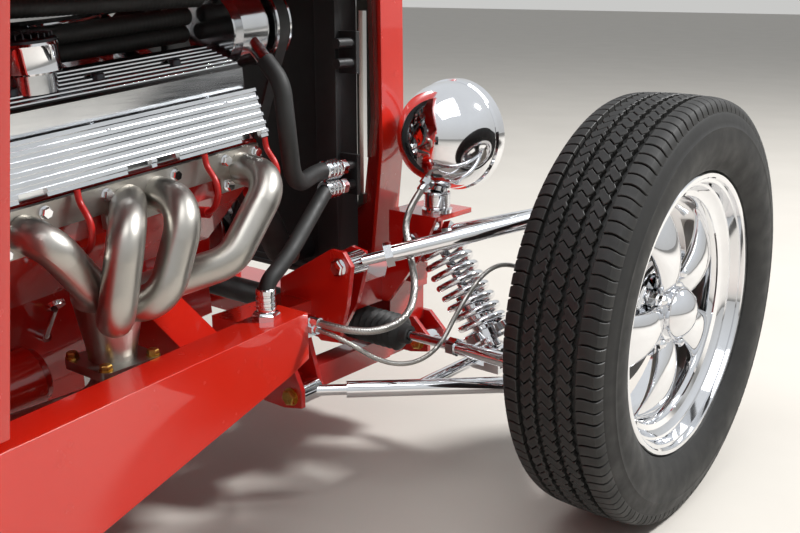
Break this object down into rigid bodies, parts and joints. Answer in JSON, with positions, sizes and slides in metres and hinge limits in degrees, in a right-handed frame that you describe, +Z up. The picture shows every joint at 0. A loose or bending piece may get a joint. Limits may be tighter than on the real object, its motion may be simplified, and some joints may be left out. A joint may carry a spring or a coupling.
{
  "type": "street rod roadster",
  "caption": "Fenderless street rod roadster with an open V8, independent front suspension, bullet headlamps, opening doors and deck lid.",
  "frame": {"origin": "on the ground, at the middle of the car's length and width", "axes": "+Z up, +Y towards the car's tail, +X towards the car's left side"},
  "size_m": [1.6562, 3.564, 1.1846],
  "materials": {
    "red_paint": "gloss",
    "black_paint": "satin",
    "chrome": "polished",
    "polished_aluminium": "polished",
    "cast_aluminium": "satin",
    "stainless_steel": "brushed",
    "braided_steel": "woven",
    "cast_iron": "machined",
    "black_rubber": "matt",
    "red_rubber": "satin",
    "tyre_rubber": "matt",
    "clear_glass": "clear",
    "red_lens": "gloss",
    "tan_leather": "satin",
    "dark_leather": "satin"
  },
  "bodies": {
    "chassis_and_body": {"frame": "red_paint", "front_crossmember": "red_paint", "upper_arms": "chrome", "lower_arms": "chrome", "front_coilovers": "chrome", "steering_rack": "black_rubber", "rear_axle": "black_paint", "rear_suspension": "chrome", "engine_block": "red_paint", "valve_covers": "polished_aluminium", "plug_looms": "polished_aluminium", "plug_leads": "red_rubber", "intake_manifold": "polished_aluminium", "air_cleaner": "chrome", "exhaust_headers": "stainless_steel", "accessory_drive": "polished_aluminium", "hoses_and_belt": "black_rubber", "gearbox": "cast_aluminium", "radiator": "black_paint", "grille_shell": "red_paint", "grille_bars": "stainless_steel", "headlamps": "chrome", "lamp_lenses": "clear_glass", "cowl": "red_paint", "rear_body": "red_paint", "hood_top": "red_paint", "floor": "black_paint", "windshield_frame": "chrome", "windshield_glass": "clear_glass", "seat_cushion": "tan_leather", "seat_back": "tan_leather", "controls": "chrome", "fuel_tank": "cast_aluminium", "tail_lamps": "red_lens", "exhaust": "stainless_steel", "line_fittings": "chrome", "brake_hose_left": "braided_steel", "lamp_conduit_left": "braided_steel", "brake_hose_right": "braided_steel", "lamp_conduit_right": "braided_steel"},
    "knuckle_left": {"knuckle_left": "cast_aluminium"},
    "knuckle_right": {"knuckle_right": "cast_aluminium"},
    "tie_rods": {"tie_rods": "chrome"},
    "wheel_front_left": {"wheel_front_left": "chrome", "tyre_front_left": "tyre_rubber", "brake_disc_left": "cast_iron"},
    "wheel_front_right": {"wheel_front_right": "chrome", "tyre_front_right": "tyre_rubber", "brake_disc_right": "cast_iron"},
    "wheel_rear_left": {"wheel_rear_left": "chrome", "tyre_rear_left": "tyre_rubber"},
    "wheel_rear_right": {"wheel_rear_right": "chrome", "tyre_rear_right": "tyre_rubber"},
    "steering_wheel": {"steering_wheel": "dark_leather"},
    "door_left": {"door_left": "red_paint"},
    "door_right": {"door_right": "red_paint"},
    "deck_lid": {"deck_lid": "red_paint"}
  },
  "joints": [
    {"name": "steer_right", "type": "hinge", "parent": "chassis_and_body", "child": "knuckle_right", "pos_m": [-0.595, -1.488, 0.16], "axis": [0, 0.1344, 0.9909], "range_deg": [-28, 28]},
    {"name": "steer_left", "type": "hinge", "parent": "chassis_and_body", "child": "knuckle_left", "pos_m": [0.595, -1.488, 0.16], "axis": [0, 0.1344, 0.9909], "range_deg": [-28, 28]},
    {"name": "rack_slide", "type": "slide", "parent": "chassis_and_body", "child": "tie_rods", "axis": [1, 0, 0], "range_m": [-0.069, 0.069]},
    {"name": "steering_wheel_turn", "type": "hinge", "parent": "chassis_and_body", "child": "steering_wheel", "pos_m": [0.23, 0.02, 0.8], "axis": [0, 0.9063, 0.4226], "range_deg": [-450, 450]},
    {"name": "door_left_swing", "type": "hinge", "parent": "chassis_and_body", "child": "door_left", "pos_m": [0.50156, -0.288, 0.6], "axis": [-0.0946, 0, -0.9955], "range_deg": [0, 65]},
    {"name": "door_right_swing", "type": "hinge", "parent": "chassis_and_body", "child": "door_right", "pos_m": [-0.50156, -0.288, 0.6], "axis": [-0.0946, 0, 0.9955], "range_deg": [0, 65]},
    {"name": "deck_lid_swing", "type": "hinge", "parent": "chassis_and_body", "child": "deck_lid", "pos_m": [0, 0.788, 0.903], "axis": [1, 0, 0], "range_deg": [0, 60]},
    {"name": "wheel_front_left_spin", "type": "hinge", "parent": "knuckle_left", "child": "wheel_front_left", "pos_m": [0.705, -1.468, 0.314], "axis": [1, 0, 0], "continuous": true},
    {"name": "wheel_rear_left_spin", "type": "hinge", "parent": "chassis_and_body", "child": "wheel_rear_left", "pos_m": [0.7, 1.222, 0.369], "axis": [1, 0, 0], "continuous": true},
    {"name": "wheel_front_right_spin", "type": "hinge", "parent": "knuckle_right", "child": "wheel_front_right", "pos_m": [-0.705, -1.468, 0.314], "axis": [1, 0, 0], "continuous": true},
    {"name": "wheel_rear_right_spin", "type": "hinge", "parent": "chassis_and_body", "child": "wheel_rear_right", "pos_m": [-0.7, 1.222, 0.369], "axis": [1, 0, 0], "continuous": true}
  ],
  "couplings": [
    {"joint": "steer_left", "follows": "steer_right", "ratio": 1},
    {"joint": "rack_slide", "follows": "steer_right", "m_per_rad": -0.139},
    {"joint": "steering_wheel_turn", "follows": "steer_right", "ratio": 16}
  ]
}
